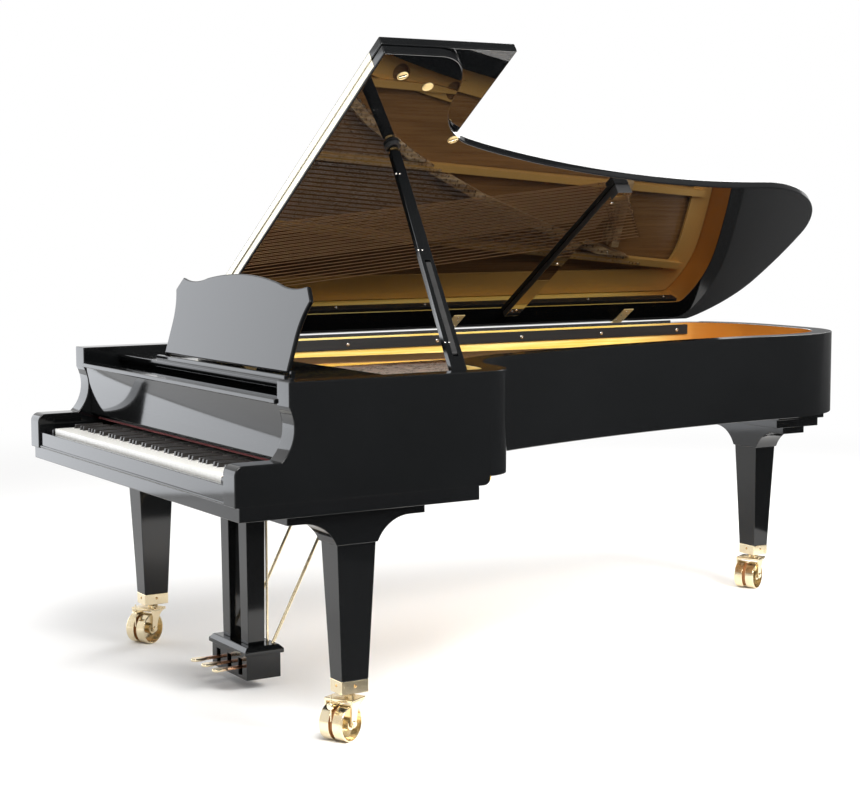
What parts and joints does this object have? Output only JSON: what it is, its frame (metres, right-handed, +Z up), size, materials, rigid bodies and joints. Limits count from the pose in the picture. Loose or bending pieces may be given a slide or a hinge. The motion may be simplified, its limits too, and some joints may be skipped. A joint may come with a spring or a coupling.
{
  "type": "grand piano",
  "caption": "Concert grand piano on three castered legs with a propped hinged lid, music desk, keyboard, iron plate, strings, action and pedal lyre.",
  "frame": {"origin": "on the floor, below the middle of the line across the fronts of the two arms", "axes": "+Z up, +Y from the keyboard towards the tail, +X towards the treble side"},
  "size_m": [1.5454, 2.8565, 1.8978],
  "materials": {
    "black_lacquer": "polished black lacquer",
    "spruce_and_maple": "varnished golden wood",
    "raw_wood": "plain wood",
    "bronze_plate": "bronze-painted cast iron",
    "string_steel": "bright drawn steel",
    "copper_winding": "wound copper",
    "brass": "polished brass",
    "ivory_keys": "satin white key tops",
    "ebony_keys": "satin black key tops"
  },
  "bodies": {
    "case": {"outer_rim": "black_lacquer", "inner_rim": "spruce_and_maple", "soundboard": "spruce_and_maple", "belly_braces": "raw_wood", "keybed": "black_lacquer", "keyslip": "black_lacquer", "key_blocks": "black_lacquer", "stretcher": "black_lacquer", "spine_rail": "black_lacquer", "plain_strings": "string_steel", "wound_strings": "copper_winding", "tuning_pins": "string_steel", "bridges": "spruce_and_maple", "pin_block": "raw_wood", "iron_plate": "bronze_plate", "case_hinges": "brass", "legs": "black_lacquer", "caster_ferrules": "brass", "lyre": "black_lacquer", "pedal_box": "black_lacquer", "lyre_braces": "brass"},
    "lid": {"lid": "black_lacquer", "lid_hinges": "brass", "lid_batten": "black_lacquer", "prop_cup": "brass"},
    "front_flap": {"front_flap": "black_lacquer", "flap_hinge": "brass"},
    "long_prop": {"long_prop": "black_lacquer"},
    "short_prop": {"short_prop": "black_lacquer"},
    "fallboard": {"fallboard": "black_lacquer"},
    "music_shelf": {"music_shelf": "black_lacquer"},
    "music_desk": {"music_desk": "black_lacquer"},
    "desk_strut": {"desk_strut": "black_lacquer"},
    "action": {"hammer_action": "raw_wood"},
    "dampers": {"dampers": "black_lacquer"},
    "keys_c": {"keys_c": "ivory_keys"},
    "keys_c_sharp": {"keys_c_sharp": "ebony_keys"},
    "keys_d": {"keys_d": "ivory_keys"},
    "keys_d_sharp": {"keys_d_sharp": "ebony_keys"},
    "keys_e": {"keys_e": "ivory_keys"},
    "keys_f": {"keys_f": "ivory_keys"},
    "keys_f_sharp": {"keys_f_sharp": "ebony_keys"},
    "keys_g": {"keys_g": "ivory_keys"},
    "keys_g_sharp": {"keys_g_sharp": "ebony_keys"},
    "keys_a": {"keys_a": "ivory_keys"},
    "keys_a_sharp": {"keys_a_sharp": "ebony_keys"},
    "keys_b": {"keys_b": "ivory_keys"},
    "pedal_left": {"pedal_left": "brass"},
    "pedal_rod_left": {"pedal_rod_left": "brass"},
    "pedal_middle": {"pedal_middle": "brass"},
    "pedal_rod_middle": {"pedal_rod_middle": "brass"},
    "pedal_right": {"pedal_right": "brass"},
    "pedal_rod_right": {"pedal_rod_right": "brass"},
    "caster_fork_bass": {"caster_fork_bass": "brass"},
    "caster_wheels_bass": {"caster_wheels_bass": "brass"},
    "caster_fork_treble": {"caster_fork_treble": "brass"},
    "caster_wheels_treble": {"caster_wheels_treble": "brass"},
    "caster_fork_tail": {"caster_fork_tail": "brass"},
    "caster_wheels_tail": {"caster_wheels_tail": "brass"}
  },
  "joints": [
    {"name": "lid_hinge", "type": "hinge", "parent": "case", "child": "lid", "pos_m": [-0.761, 0, 0.983], "axis": [0, -1, 0], "range_deg": [0, 35]},
    {"name": "flap_hinge", "type": "hinge", "parent": "lid", "child": "front_flap", "pos_m": [-0.15009, 0.5865, 1.43787], "axis": [0.8261, 0, 0.5635], "range_deg": [0, 178]},
    {"name": "prop_hinge", "type": "hinge", "parent": "case", "child": "long_prop", "pos_m": [0.654, 0.74, 0.96], "axis": [-0.1523, -0.9883, 0], "range_deg": [0, 50]},
    {"name": "short_prop_hinge", "type": "hinge", "parent": "long_prop", "child": "short_prop", "pos_m": [0.61379, 0.74619, 1.02206], "axis": [0.1523, 0.9883, 0], "range_deg": [0, 60]},
    {"name": "fallboard_hinge", "type": "hinge", "parent": "case", "child": "fallboard", "pos_m": [0, 0.188, 0.777], "axis": [1, 0, 0], "range_deg": [0, 90]},
    {"name": "shelf_slide", "type": "slide", "parent": "case", "child": "music_shelf", "axis": [0, 1, 0], "range_m": [0, 0.06]},
    {"name": "desk_tilt", "type": "hinge", "parent": "music_shelf", "child": "music_desk", "pos_m": [0, 0.33027, 0.97293], "axis": [-1, 0, 0], "range_deg": [0, 73]},
    {"name": "strut_fold", "type": "hinge", "parent": "music_desk", "child": "desk_strut", "pos_m": [0, 0.38248, 1.114], "axis": [1, 0, 0], "range_deg": [0, 138.69]},
    {"name": "action_shift", "type": "slide", "parent": "case", "child": "action", "axis": [1, 0, 0], "range_m": [0, 0.003]},
    {"name": "damper_lift", "type": "slide", "parent": "case", "child": "dampers", "axis": [0, 0, 1], "range_m": [0, 0.0071]},
    {"name": "keys_c_pivot", "type": "hinge", "parent": "action", "child": "keys_c", "pos_m": [0, 0.245, 0.712], "axis": [1, 0, 0], "range_deg": [0, 2.6], "stiffness_Nm_per_rad": 2, "springref_deg": -11.46},
    {"name": "keys_c_sharp_pivot", "type": "hinge", "parent": "action", "child": "keys_c_sharp", "pos_m": [0, 0.245, 0.712], "axis": [1, 0, 0], "range_deg": [0, 2.6], "stiffness_Nm_per_rad": 2, "springref_deg": -11.46},
    {"name": "keys_d_pivot", "type": "hinge", "parent": "action", "child": "keys_d", "pos_m": [0, 0.245, 0.712], "axis": [1, 0, 0], "range_deg": [0, 2.6], "stiffness_Nm_per_rad": 2, "springref_deg": -11.46},
    {"name": "keys_d_sharp_pivot", "type": "hinge", "parent": "action", "child": "keys_d_sharp", "pos_m": [0, 0.245, 0.712], "axis": [1, 0, 0], "range_deg": [0, 2.6], "stiffness_Nm_per_rad": 2, "springref_deg": -11.46},
    {"name": "keys_e_pivot", "type": "hinge", "parent": "action", "child": "keys_e", "pos_m": [0, 0.245, 0.712], "axis": [1, 0, 0], "range_deg": [0, 2.6], "stiffness_Nm_per_rad": 2, "springref_deg": -11.46},
    {"name": "keys_f_pivot", "type": "hinge", "parent": "action", "child": "keys_f", "pos_m": [0, 0.245, 0.712], "axis": [1, 0, 0], "range_deg": [0, 2.6], "stiffness_Nm_per_rad": 2, "springref_deg": -11.46},
    {"name": "keys_f_sharp_pivot", "type": "hinge", "parent": "action", "child": "keys_f_sharp", "pos_m": [0, 0.245, 0.712], "axis": [1, 0, 0], "range_deg": [0, 2.6], "stiffness_Nm_per_rad": 2, "springref_deg": -11.46},
    {"name": "keys_g_pivot", "type": "hinge", "parent": "action", "child": "keys_g", "pos_m": [0, 0.245, 0.712], "axis": [1, 0, 0], "range_deg": [0, 2.6], "stiffness_Nm_per_rad": 2, "springref_deg": -11.46},
    {"name": "keys_g_sharp_pivot", "type": "hinge", "parent": "action", "child": "keys_g_sharp", "pos_m": [0, 0.245, 0.712], "axis": [1, 0, 0], "range_deg": [0, 2.6], "stiffness_Nm_per_rad": 2, "springref_deg": -11.46},
    {"name": "keys_a_pivot", "type": "hinge", "parent": "action", "child": "keys_a", "pos_m": [0, 0.245, 0.712], "axis": [1, 0, 0], "range_deg": [0, 2.6], "stiffness_Nm_per_rad": 2, "springref_deg": -11.46},
    {"name": "keys_a_sharp_pivot", "type": "hinge", "parent": "action", "child": "keys_a_sharp", "pos_m": [0, 0.245, 0.712], "axis": [1, 0, 0], "range_deg": [0, 2.6], "stiffness_Nm_per_rad": 2, "springref_deg": -11.46},
    {"name": "keys_b_pivot", "type": "hinge", "parent": "action", "child": "keys_b", "pos_m": [0, 0.245, 0.712], "axis": [1, 0, 0], "range_deg": [0, 2.6], "stiffness_Nm_per_rad": 2, "springref_deg": -11.46},
    {"name": "pedal_left_hinge", "type": "hinge", "parent": "case", "child": "pedal_left", "pos_m": [-0.075, 0.385, 0.0705], "axis": [1, 0, 0], "range_deg": [0, 6], "stiffness_Nm_per_rad": 6, "springref_deg": -28.65},
    {"name": "pedal_rod_left_slide", "type": "slide", "parent": "case", "child": "pedal_rod_left", "axis": [0, 0, 1], "range_m": [0, 0.005]},
    {"name": "pedal_middle_hinge", "type": "hinge", "parent": "case", "child": "pedal_middle", "pos_m": [0, 0.385, 0.0705], "axis": [1, 0, 0], "range_deg": [0, 6], "stiffness_Nm_per_rad": 6, "springref_deg": -28.65},
    {"name": "pedal_rod_middle_slide", "type": "slide", "parent": "case", "child": "pedal_rod_middle", "axis": [0, 0, 1], "range_m": [0, 0.005]},
    {"name": "pedal_right_hinge", "type": "hinge", "parent": "case", "child": "pedal_right", "pos_m": [0.075, 0.385, 0.0705], "axis": [1, 0, 0], "range_deg": [0, 6], "stiffness_Nm_per_rad": 6, "springref_deg": -28.65},
    {"name": "pedal_rod_right_slide", "type": "slide", "parent": "case", "child": "pedal_rod_right", "axis": [0, 0, 1], "range_m": [0, 0.005]},
    {"name": "caster_bass_swivel", "type": "hinge", "parent": "case", "child": "caster_fork_bass", "pos_m": [-0.67, 0.375, 0.124], "axis": [0, 0, 1], "continuous": true},
    {"name": "caster_bass_roll", "type": "hinge", "parent": "caster_fork_bass", "child": "caster_wheels_bass", "pos_m": [-0.65002, 0.3358, 0.05], "axis": [0.891, 0.454, 0], "continuous": true},
    {"name": "caster_treble_swivel", "type": "hinge", "parent": "case", "child": "caster_fork_treble", "pos_m": [0.67, 0.375, 0.124], "axis": [0, 0, 1], "continuous": true},
    {"name": "caster_treble_roll", "type": "hinge", "parent": "caster_fork_treble", "child": "caster_wheels_treble", "pos_m": [0.68998, 0.3358, 0.05], "axis": [0.891, 0.454, 0], "continuous": true},
    {"name": "caster_tail_swivel", "type": "hinge", "parent": "case", "child": "caster_fork_tail", "pos_m": [-0.29, 2.66, 0.124], "axis": [0, 0, 1], "continuous": true},
    {"name": "caster_tail_roll", "type": "hinge", "parent": "caster_fork_tail", "child": "caster_wheels_tail", "pos_m": [-0.27002, 2.6208, 0.05], "axis": [0.891, 0.454, 0], "continuous": true}
  ],
  "couplings": [
    {"joint": "strut_fold", "follows": "desk_tilt", "ratio": 1.8998},
    {"joint": "pedal_left_hinge", "follows": "action_shift", "rad_per_m": 34.034},
    {"joint": "damper_lift", "follows": "pedal_right_hinge", "m_per_rad": 0.06685},
    {"joint": "pedal_rod_left_slide", "follows": "action_shift", "ratio": 1.5826},
    {"joint": "pedal_rod_middle_slide", "follows": "pedal_middle_hinge", "m_per_rad": 0.0465},
    {"joint": "pedal_rod_right_slide", "follows": "pedal_right_hinge", "m_per_rad": 0.0465}
  ]
}
